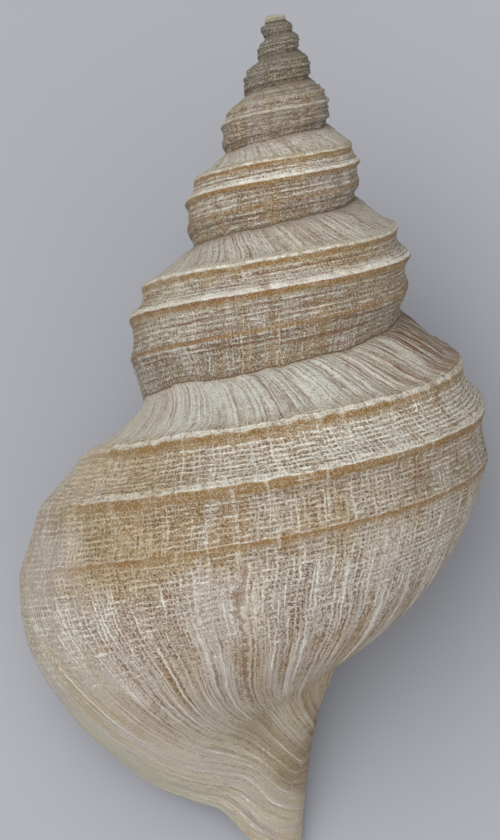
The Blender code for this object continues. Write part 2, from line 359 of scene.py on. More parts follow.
class Skin:
    """Points and faces of the shell, with each point's growth: its arc and its row."""

    def __init__(self):
        self.points, self.places, self.faces, self.finishes = [], [], [], []
        self.count = 0

    def add_points(self, points, stages, rows):
        points = np.asarray(points, float)
        places = np.stack(np.broadcast_arrays(arc(stages), rows), axis=-1)
        self.points.append(points.reshape(-1, 3))
        self.places.append(np.asarray(places, float).reshape(-1, 2))
        numbers = self.count + np.arange(points.size // 3).reshape(points.shape[:-1])
        self.count += points.size // 3
        return numbers

    def add_faces(self, faces, finish):
        self.faces.extend(faces)
        self.finishes.extend([finish] * len(faces))

    def fill_grid(self, numbers, finish, closed=False):
        if closed:
            numbers = np.concatenate([numbers, numbers[:, :1]], axis=1)
        corners = (numbers[:-1, :-1], numbers[1:, :-1], numbers[1:, 1:], numbers[:-1, 1:])
        self.add_faces(np.stack(corners, axis=-1).reshape(-1, 4).tolist(), finish)

    def zip_lines(self, first, first_at, second, second_at, finish):
        """Triangles between two lines of points, which stand at the given places."""
        i = j = 0
        made = []
        while i < len(first) - 1 or j < len(second) - 1:
            ended = j == len(second) - 1
            if ended or (i < len(first) - 1 and first_at[i + 1] <= second_at[j + 1]):
                made.append((int(first[i]), int(first[i + 1]), int(second[j])))
                i += 1
            else:
                made.append((int(first[i]), int(second[j + 1]), int(second[j])))
                j += 1
        self.add_faces(made, finish)

    def add_fan(self, centre, stage, row, loop, finish):
        middle = int(self.add_points(np.asarray(centre)[None], stage, row)[0])
        around = np.append(loop, loop[0])
        self.add_faces([(middle, int(a), int(b)) for a, b in zip(around, around[1:])], finish)


OUTSIDE, INSIDE = 0, 1


def add_side(skin):
    """The side of every whorl, from its suture to where the next whorl covers it."""
    lines, rows_of = [], []
    starts = [stretch[0] for stretch in STRETCHES] + [LIP_STAGE]
    stages_done = []
    for (start, step, count), end in zip(STRETCHES, starts[1:]):
        last = end if end == LIP_STAGE else end - step
        stages = np.arange(start, last + step / 2, step, dtype=float)
        rows = np.linspace(0, SIDE_END, count + 1)[:-1]
        grid = np.meshgrid(stages, rows, indexing="ij")
        numbers = skin.add_points(surface(*grid), *grid)
        skin.fill_grid(numbers, OUTSIDE)
        if lines:
            skin.zip_lines(numbers[0], rows, lines[-1], rows_of[-1], OUTSIDE)
        lines.extend(numbers)
        rows_of.extend([rows] * len(stages))
        stages_done.append(stages)
    stages = np.concatenate(stages_done)
    return lines, rows_of, stages


def add_seam(skin, lines, stages):
    """The last row of the side, which meets the next whorl's suture or the free base."""
    covered = stages[stages >= APEX_STAGE + SUTURE_TURN] - SUTURE_TURN
    step = STRETCHES[-1][1]
    seam_stages = np.concatenate([covered[:-1], np.arange(FREE_STAGE, LIP_STAGE + step / 2, step)])
    seam_rows = np.full(len(seam_stages), float(SIDE_END))
    seam = skin.add_points(surface(seam_stages, seam_rows), seam_stages, seam_rows)
    skin.zip_lines(seam, seam_stages, [line[-1] for line in lines], stages, OUTSIDE)
    return seam


def add_tip(skin, lines, stages, seam):
    """Closes the first turn with a worn and lumpy dome."""
    first_turn = int(np.searchsorted(stages, APEX_STAGE + SUTURE_TURN))
    loop = [line[0] for line in lines[:first_turn]] + [seam[0]] + list(lines[0][:0:-1])
    edge = np.concatenate(skin.points)[loop]
    middle = edge.mean(axis=0)
    top = np.array(TIP)
    around = np.linspace(0, TIP_LUMP_COUNT, len(loop), endpoint=False)
    loop_stages, loop_rows = np.full(len(loop), float(APEX_STAGE)), np.full(len(loop), TIP_ROW)
    ring = np.array(loop)
    for share in TIP_RINGS:
        width = TIP_WIDTH * (1 - share ** TIP_ROUNDNESS) * (1 + waves(TIP_LUMPS, around, 3 * share))
        spread = (edge - middle) * width[:, None]
        spread[:, 1] *= 1 - share
        line = skin.add_points(middle + share * (top - middle) + spread, loop_stages, loop_rows)
        skin.fill_grid(np.stack([line, ring]), OUTSIDE, closed=True)
        ring = line
    skin.add_fan(top, loop_stages[:1], loop_rows[:1], ring, OUTSIDE)


def add_base(skin):
    """The free base and canal of the last whorl, from the inner lip round to the outer lip."""
    rows = np.linspace(SIDE_END, ROW_END, BASE_ROW_COUNT + 1)
    count = round(SUTURE_TURN / STRETCHES[-1][1])
    share = np.linspace(0, 1, count + 1)[:, None]
    started = smooth(INNER_LIP, rows - SIDE_END)
    stages = started + share * (LIP_STAGE - started)
    rows = np.broadcast_to(rows, stages.shape)
    numbers = skin.add_points(surface(stages, rows), stages, rows)
    skin.fill_grid(numbers, OUTSIDE)
    return numbers, rows[0]


def add_hollow(skin):
    """The inside: down the wall's inner face to the canal, and up the glazed pillar."""
    wall_rows = np.linspace(WALL_TOP, WALL_BOTTOM, WALL_ROW_COUNT)
    pillar_rows = np.linspace(WALL_BOTTOM, PILLAR_TOP, PILLAR_ROW_COUNT)
    stages = np.arange(HOLLOW_STAGE, LIP_STAGE + 1, HOLLOW_STEP, dtype=float)
    parts = []
    faces = ((glazed, [CORNER_ROW]), (inner_face, wall_rows), (surface, [ROW_END]),
             (glazed, pillar_rows))
    for make, rows in faces:
        stage, row = np.meshgrid(stages, np.array(rows, float), indexing="ij")
        parts.append(make(stage, row))
    rows = np.concatenate([[0], wall_rows, [ROW_END], pillar_rows])
    numbers = skin.add_points(np.concatenate(parts, axis=1), stages[:, None], rows)
    skin.fill_grid(numbers, INSIDE, closed=True)
    end = numbers[0]
    middle = np.concatenate(skin.points)[end].mean(axis=0)
    skin.add_fan(middle, stages[:1], rows[:1], end, INSIDE)
    at = np.concatenate([[0], wall_rows, [ROW_END], 2 * ROW_END - pillar_rows])
    return numbers[-1], at


def add_lip(skin, side_line, side_rows, base, base_rows, hollow_line, hollow_at):
    """The rounded edge all round the mouth, from the outside to the hollow."""
    outer = np.concatenate([side_line, base[-1], base[0][-2::-1]])
    back = 2 * ROW_END
    outer_at = np.concatenate([side_rows, base_rows, back - base_rows[-2::-1]])
    whole = back - SIDE_END
    points = np.concatenate(skin.points)
    inner_at = np.append(hollow_at, whole)
    inner_points = points[np.append(hollow_line, hollow_line[0])]
    matched = [np.interp(outer_at, inner_at, inner_points[:, axis]) for axis in range(3)]
    matched = np.stack(matched, axis=-1)
    start = points[outer]
    thickness = np.linalg.norm(matched - start, axis=1, keepdims=True)
    clipped = np.clip(outer_at, 0, ROW_END)
    ahead = surface(LIP_STAGE, clipped, False) - surface(LIP_STAGE - 1, clipped, False)
    ahead = ahead / np.linalg.norm(ahead, axis=1, keepdims=True)
    on_lip = ease(np.minimum(outer_at, ROW_END - outer_at) / 2)[:, None]
    stages = np.full(len(outer), float(LIP_STAGE))
    rows = np.minimum(outer_at, back - outer_at)
    ring = outer
    for share in LIP_ROUNDING:
        bulge = LIP_BULGE * thickness * math.sin(math.pi * share) * on_lip
        line = skin.add_points(start * (1 - share) + matched * share + bulge * ahead, stages, rows)
        skin.fill_grid(np.stack([ring, line]), OUTSIDE if share < 0.5 else INSIDE)
        ring = line
    skin.zip_lines(np.append(hollow_line, hollow_line[0]), inner_at, ring, outer_at, INSIDE)


def build_shell():
    skin = Skin()
    lines, rows_of, stages = add_side(skin)
    seam = add_seam(skin, lines, stages)
    add_tip(skin, lines, stages, seam)
    base, base_rows = add_base(skin)
    hollow_line, hollow_at = add_hollow(skin)
    add_lip(skin, lines[-1], rows_of[-1], base, base_rows, hollow_line, hollow_at)

    mesh = bpy.data.meshes.new("whelk_shell")
    points = np.concatenate(skin.points) * MM
    mesh.from_pydata(points.tolist(), [], skin.faces)
    mesh.polygons.foreach_set("material_index", np.array(skin.finishes, dtype=np.int32))
    places = np.concatenate(skin.places)
    corner = np.zeros(len(mesh.loops), dtype=np.int32)
    mesh.loops.foreach_get("vertex_index", corner)
    growth_map = mesh.uv_layers.new(name="growth")
    growth_map.data.foreach_set("uv", places[corner].astype(np.float32).ravel())
    mesh.transform(LAID)
    shell = bpy.data.objects.new("whelk_shell", mesh)
    bpy.context.scene.collection.objects.link(shell)

    bpy.ops.object.select_all(action="DESELECT")
    shell.select_set(True)
    bpy.context.view_layer.objects.active = shell
    bpy.ops.object.mode_set(mode="EDIT")
    bpy.ops.mesh.select_all(action="SELECT")
    bpy.ops.mesh.remove_doubles(threshold=WELD)
    bpy.ops.mesh.dissolve_degenerate(threshold=WELD)
    bpy.ops.mesh.select_all(action="SELECT")
    bpy.ops.mesh.normals_make_consistent(inside=False)
    bpy.ops.object.mode_set(mode="OBJECT")
    bpy.ops.object.shade_smooth()
    return shell


shell = build_shell()


class Nodes:
    """Short names for making the nodes of one material."""

    def __init__(self, name):
        self.material = bpy.data.materials.new(name)
        self.material.use_nodes = True
        self.tree = self.material.node_tree
        self.shader = self.tree.nodes["Principled BSDF"]

    def feed(self, socket, value):
        if isinstance(value, bpy.types.NodeSocket):
            self.tree.links.new(value, socket)
        else:
            socket.default_value = value

    def node(self, kind, inputs, **settings):
        made = self.tree.nodes.new(kind)
        for name, value in settings.items():
            setattr(made, name, value)
        for socket, value in inputs.items():
            self.feed(made.inputs[socket], value)
        return made

    def math(self, operation, a, b=0.0, c=0.0):
        return self.node("ShaderNodeMath", {0: a, 1: b, 2: c}, operation=operation).outputs[0]

    def add(self, a, b):
        return self.math("ADD", a, b)

    def less(self, a, b):
        return self.math("SUBTRACT", a, b)

    def most(self, a, b):
        return self.math("MAXIMUM", a, b)

    def times(self, first, *others):
        for other in others:
            first = self.math("MULTIPLY", first, other)
        return first

    def plus(self, total, *parts):
        """A total with shares of other values added, each given as value and share."""
        for value, share in parts:
            total = self.math("MULTIPLY_ADD", value, share, total)
        return total

    def rest(self, value, share=1.0):
        """What a share of a value leaves of 1."""
        return self.plus(1.0, (value, -share))

    def blend(self, share, a, b):
        """A number that goes from a to b as the share goes from 0 to 1."""
        return self.add(a, self.times(share, self.less(b, a)))

    def away(self, value, centre):
        """How far a value is from a centre."""
        return self.math("ABSOLUTE", self.less(value, centre))

    def band(self, value, low, high):
        """0 below low, 1 above high, and smooth between them; low may be the larger."""
        inputs = {"Value": value, "From Min": low, "From Max": high}
        return self.node("ShaderNodeMapRange", inputs, interpolation_type="SMOOTHSTEP").outputs[0]

    def within(self, value, start, full, last, end):
        """1 between full and last, and 0 before start and after end."""
        return self.times(self.band(value, start, full), self.band(value, end, last))

    def mix(self, share, a, b):
        return self.node("ShaderNodeMix", {0: share, 6: a, 7: b}, data_type="RGBA").outputs[2]

    def vector(self, x, y, z=0.0):
        return self.node("ShaderNodeCombineXYZ", {0: x, 1: y, 2: z}).outputs[0]

    def millimetres(self):
        """The place on the object, in millimetres."""
        inputs = {0: self.node("ShaderNodeTexCoord", {}).outputs["Object"], 1: (1 / MM,) * 3}
        return self.node("ShaderNodeVectorMath", inputs, operation="MULTIPLY").outputs[0]

    def noise(self, vector, scale, detail=2.0, roughness=0.5):
        inputs = {"Vector": vector, "Scale": scale, "Detail": detail, "Roughness": roughness}
        return self.node("ShaderNodeTexNoise", inputs).outputs["Fac"]

    def centred(self, vector, scale, detail, roughness=0.5):
        """Noise stretched to run from about -1 to 1."""
        return self.math("MULTIPLY_ADD", self.noise(vector, scale, detail, roughness), 4.0, -2.0)

    def ramp(self, value, stops):
        made = self.node("ShaderNodeValToRGB", {0: value})
        elements = made.color_ramp.elements
        while len(elements) > 1:
            elements.remove(elements[-1])
        for number, (place, colour) in enumerate(stops):
            element = elements[0] if number == 0 else elements.new(place)
            element.position = place
            element.color = colour
        return made.outputs[0]


def tint(red, green, blue):
    """A linear colour from its 0 to 255 values."""
    def linear(value):
        value = value / 255
        return value / 12.92 if value <= 0.04045 else ((value + 0.055) / 1.055) ** 2.4
    return (linear(red), linear(green), linear(blue), 1)


WHITE = tint(253, 250, 238)
CHALK = tint(227, 223, 210)
CREAM = tint(207, 199, 179)
BEIGE = tint(196, 180, 156)
LAVENDER = tint(199, 189, 180)
PEARL = tint(210, 202, 194)
PALE = tint(230, 230, 223)
TAN = tint(180, 151, 106)
OCHRE = tint(151, 115, 60)
BROWN = tint(111, 84, 59)
HAIR = tint(135, 92, 55)
GREY = tint(94, 87, 73)
TAUPE = tint(159, 145, 119)
STONE = tint(158, 148, 130)
GOLD = tint(206, 177, 131)
# Olive painted shade, at and just below the keels
UNDER_KEEL_SHADE = tint(184, 173, 138)
GREENISH = tint(202, 196, 176)
GLAZE_CREAM = tint(222, 205, 178)
GLAZE_PINK = tint(214, 184, 160)


def over_rows(stops):
    return [(row / ROW_END, colour) for row, colour in stops]


def greys(stops):
    return over_rows([(row, (share, share, share, 1)) for row, share in stops])


# Ground colours down the rows: left and right of the back on the last whorl, and on the spire
# The brown at row 0, and at row 10 on the spire, is painted shade in the suture; the olive at and
# just below the keels is painted shade under them
BODY_LEFT = over_rows((
    (0, BROWN), (0.14, CREAM), (0.5, CHALK), (3.6, CHALK), (3.9, CREAM), (4.3, TAN), (4.7, BEIGE),
    (5.4, BEIGE), (5.8, UNDER_KEEL_SHADE), (6.4, OCHRE), (7.0, TAN), (7.6, TAN), (8.2, TAN), (8.7, BEIGE),
    (9.4, LAVENDER), (12.0, PEARL), (14, CREAM), (16, CREAM), (17.5, TAUPE), (24, TAUPE)))
BODY_RIGHT = over_rows((
    (0, BROWN), (0.14, BEIGE), (0.5, CHALK), (3.2, CHALK), (3.8, CREAM), (4.2, BEIGE),
    (4.6, CREAM), (5.3, CHALK), (5.7, BEIGE), (6.4, TAN), (7.0, TAUPE), (7.5, TAUPE),
    (8.2, BEIGE), (9.6, PEARL), (12.5, PEARL), (14, BEIGE), (16.5, BEIGE), (18, TAUPE),
    (24, TAUPE)))
SPIRE = over_rows((
    (0, BROWN), (0.14, TAUPE), (0.4, LAVENDER), (2.0, CHALK), (3.6, CHALK), (3.95, CREAM),
    (4.25, UNDER_KEEL_SHADE), (4.7, TAN), (5.3, CREAM), (5.7, WHITE), (6.05, WHITE), (6.35, UNDER_KEEL_SHADE),
    (6.8, STONE), (8.2, STONE), (8.35, BROWN), (8.5, STONE), (9.85, STONE), (10.0, BROWN)))
# Pale cords and dark furrows of the oldest whorls, with painted shade in the suture at rows 0 and
# 10
OLD = over_rows((
    (0, BROWN), (0.4, TAUPE), (1.3, TAUPE), (1.8, CREAM), (2.3, BROWN), (2.9, CREAM),
    (3.4, TAUPE), (3.9, CREAM), (4.2, CREAM), (4.65, BROWN), (5.1, BEIGE), (5.55, BROWN),
    (6.0, CREAM), (6.35, CREAM), (6.75, BROWN), (7.3, TAUPE), (7.8, BROWN), (8.5, BEIGE),
    (8.9, TAUPE), (9.4, BROWN), (10, BROWN)))

# Stages where one look gives way to another, and how many degrees the boundary wavers
SPIRE_START, SPIRE_FULL, SPIRE_WAVER = -190.0, -230.0, 30.0
OLD_START, OLD_FULL, OLD_SHARE = -820.0, -1000.0, 0.6
RIGHT_START, RIGHT_FULL, RIGHT_WAVER = 2.0, -30.0, 40.0
LIP_START, LIP_FULL, LIP_WAVER = 45.0, 75.0, 14.0
PLAIN_START, PLAIN_END = -200.0, -620.0     # lines along earlier lips fade between these
FAR_RIGHT_STAGES = (-190.0, -150.0, -80.0, -45.0)   # where hairs crowd on the ramp
GOLD_START, GOLD_FULL = 14.0, 36.0          # the golden stain left of the back
KEELS_BY_LIP = (75.0, 40.0)                 # the keels' own lines fade towards the lip
KEELS_BY_TIP = (-1150.0, -700.0)            # and towards the tip
SEAM_START, SEAM_FULL = -205.0, -225.0      # before these, painted shade lies above the next whorl
GREYING = ((-800.0, -1150.0, 0.28), (-1180.0, -1450.0, 0.34))   # stages, and how grey
TIP_START, TIP_FULL, TIP_SHARE = -2260.0, -2340.0, 0.7          # the pale tip
# Rows where a look starts and is full, or starts, is full, is last full and ends
SIDE_ROWS = (3.0, 4.6)
BASE_ROWS = (9.5, 12.5)
CANAL_ROWS = (11.5, 13.5)
CANAL_LINE_ROWS = (12.5, 14.5)
LONG_LINE_ROWS = (4.1, 3.4)
MARGIN_ROWS = (11.2, 11.8)
STREAK_ROWS = (14.0, 10.0)
# Rows of painted shade in the suture: below it, and above the next whorl
SUTURE_SHADE_ROWS = (0.10, 0.02)
SEAM_SHADE_ROWS = (9.90, 9.98)
RAMP_ROWS = (0.1, 0.5, 3.5, 4.1)
GOLD_ROWS = (3.7, 4.1, 8.4, 9.4)
TAN_ROWS = (6.0, 6.5, 8.2, 9.0)
ROUND_LINE_ROWS = (4.5, 4.8, 9.5, 10.5)

# Pale and tan patches on the last whorl, and two pale ones on the spire that are partly painted
# light: from one stage and row to another, colour and strength
PATCHES = (
    (27, 10, 8.5, 11.0, PEARL, 0.55), (46, 28, 8.0, 12.6, TAN, 0.42),
    (13, 7, 8.8, 13.5, TAN, 0.55), (68, 58, 8.7, 12.4, LAVENDER, 0.6),
    (2, -7, 6.4, 7.4, LAVENDER, 0.6), (-20, -30, 7.9, 10.5, PEARL, 0.45),
    (60, 50, 4.6, 7.5, CREAM, 0.5), (34, -38, 0.5, 3.4, PALE, 0.9),
    (12, -34, 4.5, 5.5, PALE, 0.5), (44, 14, 14.3, 17.4, TAUPE, 0.45),
    (68, 33, 3.8, 5.7, GOLD, 0.75), (58, 34, 5.9, 8.8, GOLD, 0.6),
    # Cream on the left sides of two spire whorls: partly their colour, partly painted light on
    # those sides
    (-290, -325, 4.2, 8.5, CREAM, 0.7), (-650, -685, 4.2, 8.5, CREAM, 0.6))
PATCH_STAGE_EDGE, PATCH_TOP_EDGE, PATCH_BOTTOM_EDGE = 3, 0.6, 0.9    # how softly a patch ends

# Each keel: the row where the painted highlight on its crest ends, the row where the ochre line
# below it ends (a stain, with painted shade under the keel), and how strong the painted highlight
# on the crest is
KEEL_HIGHLIGHT_STAIN_AND_SHADE_LINES = ((4.02, 4.30, 0.75), (5.82, 6.18, 0.65), (7.76, 7.96, 0.0))
PLAIN_CRESTS = (3.9, 5.85)      # rows where the spire's keels carry less weave

# Random lines along earlier lips: how many to a millimetre of growth, how many to a millimetre
# down the rows, their seed, and how finely and how strongly they are broken
BROAD_LINES = (0.15, 0.045, 0.0, 3, 0.6)
FINE_LINES = (1.9, 0.10, 0.0, 4, 0.7)
LONG_LINES = (1.15, 0.03, 5.0, 4, 0.75)
CANAL_LINES = (0.5, 0.03, 6.0, 4, 0.75)
HAIR_LINES = (1.9, 0.06, 7.0, 3, 0.65)
STRIPE_LINES = (0.5, 0.07, 3.0, 2, 0.6)
STREAK_LINES = (0.85, 0.05, 11.0, 3, 0.6)
ROW_LENGTH = 4.5            # about the millimetres from one row to the next at stage 0
LIP_PITCH = 0.85            # millimetres between the regular lines left by earlier lips
THREADS_A_ROW = 9.2         # at the size of the whorl after the last
# How strong the lines along earlier lips are down the rows, and then the spiral threads
LIP_STRENGTH = greys(((0, 0.75), (3.6, 0.7), (4.4, 0.8), (7.5, 0.9), (9, 1), (24, 1)))
THREAD_STRENGTH = greys((
    (0, 0.3), (3.6, 0.45), (4.4, 1), (7.8, 0.9), (9.5, 0.5), (12, 0.25), (24, 0.2)))

# Growth stopped for a while at these stages, between these rows, and left a brown line.
PAUSES = ((-33, 5.9, 8.6), (14, 8.2, 15.0), (-52, 1.0, 5.0), (-353, 4.2, 8.0))
PAUSE_WIDTH, PAUSE_SHARE = 1.1, 0.6    # degrees to each side, and how brown
MARGIN_LAG = 7.8            # degrees a row by which the lip's margin slants
MARGIN_START, MARGIN_FULL = -5.5, -2.5
BUMP, GLAZE_BUMP = 1.15, 0.3    # how far a height of 1 stands out, in millimetres


class Coat:
    """The chalky outside.  Each method makes one kind of mark, and most lay it on the colour."""

    def __init__(self):
        n = self.n = Nodes("chalky_shell")
        uv = n.node("ShaderNodeUVMap", {}, uv_map="growth").outputs[0]
        split = n.node("ShaderNodeSeparateXYZ", {0: uv})
        self.grown, self.row = split.outputs[0], split.outputs[1]
        self.row_share = n.math("DIVIDE", self.row, ROW_END)
        self.size = n.math("DIVIDE", self.grown, ARC)
        log_size = n.math("LOGARITHM", self.size, math.e)
        self.stage = n.times(log_size, math.degrees(1 / RATE))
        self.make_noises()
        self.find_regions()
        self.lips = self.growth_lines()
        self.thread = self.spiral_threads()

    def make_noises(self):
        """Noise from broad to fine, by changes a millimetre, and along and across the lines."""
        n = self.n
        self.mm = n.millimetres()
        self.broad = n.centred(self.mm, 0.08, 2)
        self.medium = n.centred(self.mm, 0.5, 3)
        self.fine = n.centred(self.mm, 3.0, 3, 0.7)
        self.grain = n.centred(self.mm, 4.0, 2, 0.8)
        self.patches = n.band(n.centred(self.mm, 0.75, 2, 0.6), -0.45, 0.35)
        self.wander = n.plus(n.times(self.medium, 0.45), (self.fine, 0.30))
        along = n.times(n.math("SQRT", self.size), 2 * ARC)
        self.sway = n.plus(along, (self.medium, 0.25))
        self.across = n.times(self.row, self.size, ROW_LENGTH)
        self.broad_lips = self.lines(BROAD_LINES)

    def lines(self, kind):
        n = self.n
        along, across, seed, detail, roughness = kind
        at = n.vector(n.times(self.sway, along), n.times(self.across, across), seed)
        return n.centred(at, 1.0, detail, roughness)

    def find_regions(self):
        n, row, stage = self.n, self.row, self.stage
        self.young = n.band(n.plus(stage, (self.medium, SPIRE_WAVER)), SPIRE_START, SPIRE_FULL)
        self.to_right = n.band(n.plus(stage, (self.broad, RIGHT_WAVER)), RIGHT_START, RIGHT_FULL)
        self.near_lip = n.band(n.plus(stage, (self.broad, LIP_WAVER)), LIP_START, LIP_FULL)
        self.on_side = n.band(row, *SIDE_ROWS)
        self.on_base = n.band(row, *BASE_ROWS)
        self.by_canal = n.band(row, *CANAL_ROWS)
        self.long_share = n.most(self.on_base, n.band(row, *LONG_LINE_ROWS))
        self.patch_stage = n.plus(stage, (self.wander, 7.0))
        self.patch_row = n.plus(row, (self.wander, 0.7))
        gold_rows = n.within(self.patch_row, *GOLD_ROWS)
        self.golden = n.times(n.band(self.patch_stage, GOLD_START, GOLD_FULL), gold_rows)
        # The keels lie lower on the older whorls
        self.keel_row = n.plus(row, (self.wander, 0.07))
        for start, end, drop in KEEL_DROPS:
            self.keel_row = n.plus(self.keel_row, (n.band(stage, start, end), -drop))
        # What is left of the keels' own lines near the lip and on the oldest whorls
        worn = n.plus(0.7, (n.band(self.broad_lips, -0.5, 0.1), 0.3))
        self.kept = n.times(worn, n.band(stage, *KEELS_BY_LIP), n.band(stage, *KEELS_BY_TIP))

    def growth_lines(self):
        """Lines along earlier lips, longer on the ramp and on the base, and broad by the canal."""
        n = self.n
        turns = n.plus(n.times(self.sway, 2 * math.pi / LIP_PITCH), (self.broad_lips, 7.0))
        short = n.plus(n.times(self.lines(FINE_LINES), 0.85), (n.math("SINE", turns), 0.22))
        at_canal = n.band(self.row, *CANAL_LINE_ROWS)
        long = n.blend(at_canal, self.lines(LONG_LINES), n.times(self.lines(CANAL_LINES), 0.75))
        lips = n.blend(self.long_share, short, n.times(long, 0.95))
        lips = n.times(lips, n.rest(n.band(self.stage, PLAIN_START, PLAIN_END), 0.7))
        return n.times(lips, n.ramp(self.row_share, LIP_STRENGTH))

    def spiral_threads(self):
        """Threads that split in the hidden half of each whorl, so that they keep their width."""
        n = self.n
        whorl = n.math("DIVIDE", n.add(self.stage, -180.0), 360.0)
        threads = []
        for later in (0.0, 1.0):
            per_row = n.math("POWER", WHORL_GROWTH, n.add(n.math("FLOOR", whorl), later))
            down = n.times(n.plus(self.row, (self.wander, 0.05)), per_row, THREADS_A_ROW)
            beat = n.math("SINE", n.times(down, 2 * math.pi))
            at = n.vector(n.times(self.grown, 0.42), n.times(down, 1.8), later)
            strands = n.centred(at, 1.0, 3, 0.65)
            threads.append(n.plus(n.times(beat, 0.36), (strands, 0.78)))
        splitting = n.band(n.math("FRACT", whorl), 0.86, 1.0)
        thread = n.blend(splitting, *threads)
        return n.times(thread, n.ramp(self.row_share, THREAD_STRENGTH))

    def ground(self):
        """The ground colour, with pale and tan stretches of growth, faint on the ramp."""
        n = self.n
        at = n.math("DIVIDE", n.plus(self.row, (self.wander, 0.16)), ROW_END)
        colour = n.mix(self.to_right, n.ramp(at, BODY_LEFT), n.ramp(at, BODY_RIGHT))
        colour = n.mix(self.young, colour, n.ramp(at, SPIRE))
        old = n.times(n.band(self.stage, OLD_START, OLD_FULL), OLD_SHARE)
        colour = n.mix(old, colour, n.ramp(at, OLD))
        lip_colour = n.mix(n.band(self.broad_lips, -0.2, 0.2), CREAM, LAVENDER)
        colour = n.mix(n.times(self.near_lip, 0.7), colour, lip_colour)
        shown = n.times(n.plus(0.15, (self.on_side, 0.85)), n.rest(self.by_canal, 0.6))
        pale = n.band(n.plus(self.broad_lips, (self.broad, 0.8)), 0.05, 0.40)
        dark = n.band(n.plus(self.broad_lips, (self.broad, 0.5)), -0.05, -0.40)
        colour = n.mix(n.times(pale, shown, 0.6), colour, LAVENDER)
        return n.mix(n.times(dark, shown, 0.5), colour, TAN)

    def lay_patches(self, colour):
        """The weave is worn away where a patch is pearly."""
        n = self.n
        self.calm = 0.0
        for start, end, top, bottom, tone, strength in PATCHES:
            soft = PATCH_STAGE_EDGE
            along = n.within(self.patch_stage, end - soft, end + soft, start - soft, start + soft)
            down = n.within(self.patch_row, top - PATCH_TOP_EDGE, top + PATCH_TOP_EDGE,
                            bottom - PATCH_BOTTOM_EDGE, bottom + PATCH_BOTTOM_EDGE)
            inside = n.times(along, down)
            uneven_strength = n.plus(strength * 0.5, (self.patches, strength * 0.6))
            colour = n.mix(n.times(inside, uneven_strength), colour, tone)
            if tone is PEARL:
                self.calm = n.add(self.calm, inside)
        return colour

    def lay_keel_ochre_and_shade(self, colour):
        """An ochre line below each keel: partly a stain, partly painted shade under the keel."""
        n = self.n
        self.stain_shade_below_keels = 0.0
        for crest, bottom, _ in KEEL_HIGHLIGHT_STAIN_AND_SHADE_LINES:
            under = n.within(self.keel_row, crest, crest + 0.06, bottom - 0.08, bottom + 0.12)
            self.stain_shade_below_keels = n.add(self.stain_shade_below_keels, n.times(under, self.kept))
        return n.mix(self.stain_shade_below_keels, colour, OCHRE)

    def lay_weave(self, colour):
        """Chalky threads both ways, in patches, with tan and brown in the gaps between them, partly
        their colour and partly painted shade in the gaps.
        """
        n, young = self.n, self.young
        self.open_weave = n.rest(self.near_lip, 0.7)
        on_whorl = n.plus(0.5, (self.on_side, 0.5))
        on_spire = n.plus(0.75, (self.on_side, 0.25))
        woven = n.times(n.blend(young, on_whorl, on_spire), n.rest(self.stain_shade_below_keels, 0.9))
        woven = n.times(woven, n.rest(self.by_canal, 0.25), n.rest(self.calm, 0.45))
        for crest in PLAIN_CRESTS:
            on_crest = n.times(n.band(n.away(self.keel_row, crest), 0.55, 0.15), young)
            woven = n.times(woven, n.rest(on_crest, 0.75))
        self.woven = woven

        stripes = n.band(self.lines(STRIPE_LINES), -0.4, 0.4)
        broken = n.times(self.fine, n.plus(0.42, (self.long_share, -0.30)))
        thread_edge = n.add(self.thread, broken)
        lip_edge = n.add(self.lips, broken)
        chalk = n.most(n.band(thread_edge, 0.18, 0.40), n.band(lip_edge, 0.23, 0.45))
        thread_gap = n.band(n.plus(thread_edge, (self.long_share, -0.4)), 0.12, -0.16)
        gaps = n.times(thread_gap, n.band(lip_edge, 0.15, -0.16))
        # Tan to brown in the gaps: partly their colour, partly painted shade between the threads
        gap_colour_and_shade = n.mix(n.band(n.add(self.fine, self.grain), 0.45, -0.5), TAN, BROWN)
        darkness = n.plus(1.36, (self.patches, -0.35), (stripes, -0.45),
                          (self.long_share, -0.24), (young, -0.12))
        colour = n.mix(n.times(gaps, woven, self.open_weave, darkness), colour, gap_colour_and_shade)

        tan_band = n.within(self.row, *TAN_ROWS)
        faded = n.most(n.times(young, 0.42), n.times(tan_band, 0.42))
        faded = n.most(faded, n.times(self.on_base, 0.25))
        faded = n.most(faded, n.times(self.golden, 0.62))
        whiteness = n.plus(0.42, (self.patches, 0.42), (stripes, 0.48))
        return n.mix(n.times(chalk, woven, whiteness, n.rest(faded)), colour, WHITE)

    def lay_strong_lines(self, colour):
        """White lines along earlier lips, brown ones round the whorl, and a painted highlight on
        the keels' crests.
        """
        n = self.n
        streak = n.times(n.band(self.lines(STREAK_LINES), 0.30, 0.55), self.on_side)
        faded = n.most(n.times(self.young, 0.7), n.times(self.golden, 0.6))
        streak = n.times(streak, n.band(self.row, *STREAK_ROWS), n.rest(faded))
        colour = n.mix(n.times(streak, n.plus(0.14, (self.patches, 0.28))), colour, WHITE)

        down = n.times(n.plus(self.row, (self.wander, 0.06)), 5.5)
        rounds = n.centred(n.vector(n.times(self.grown, 0.05), down, 3.0), 1.0, 2, 0.5)
        shown = n.times(n.within(self.row, *ROUND_LINE_ROWS), n.plus(0.25, (self.young, 0.5)))
        colour = n.mix(n.times(n.band(rounds, -0.30, -0.42), shown), colour, HAIR)

        # A painted highlight along each keel's crest, in white
        for crest, _, whiteness in KEEL_HIGHLIGHT_STAIN_AND_SHADE_LINES:
            near = n.band(n.away(self.keel_row, crest - 0.05), 0.14, 0.04)
            shown = n.times(n.plus(0.4, (self.patches, 0.6)), self.kept, whiteness)
            colour = n.mix(n.times(near, shown), colour, WHITE)
        return colour

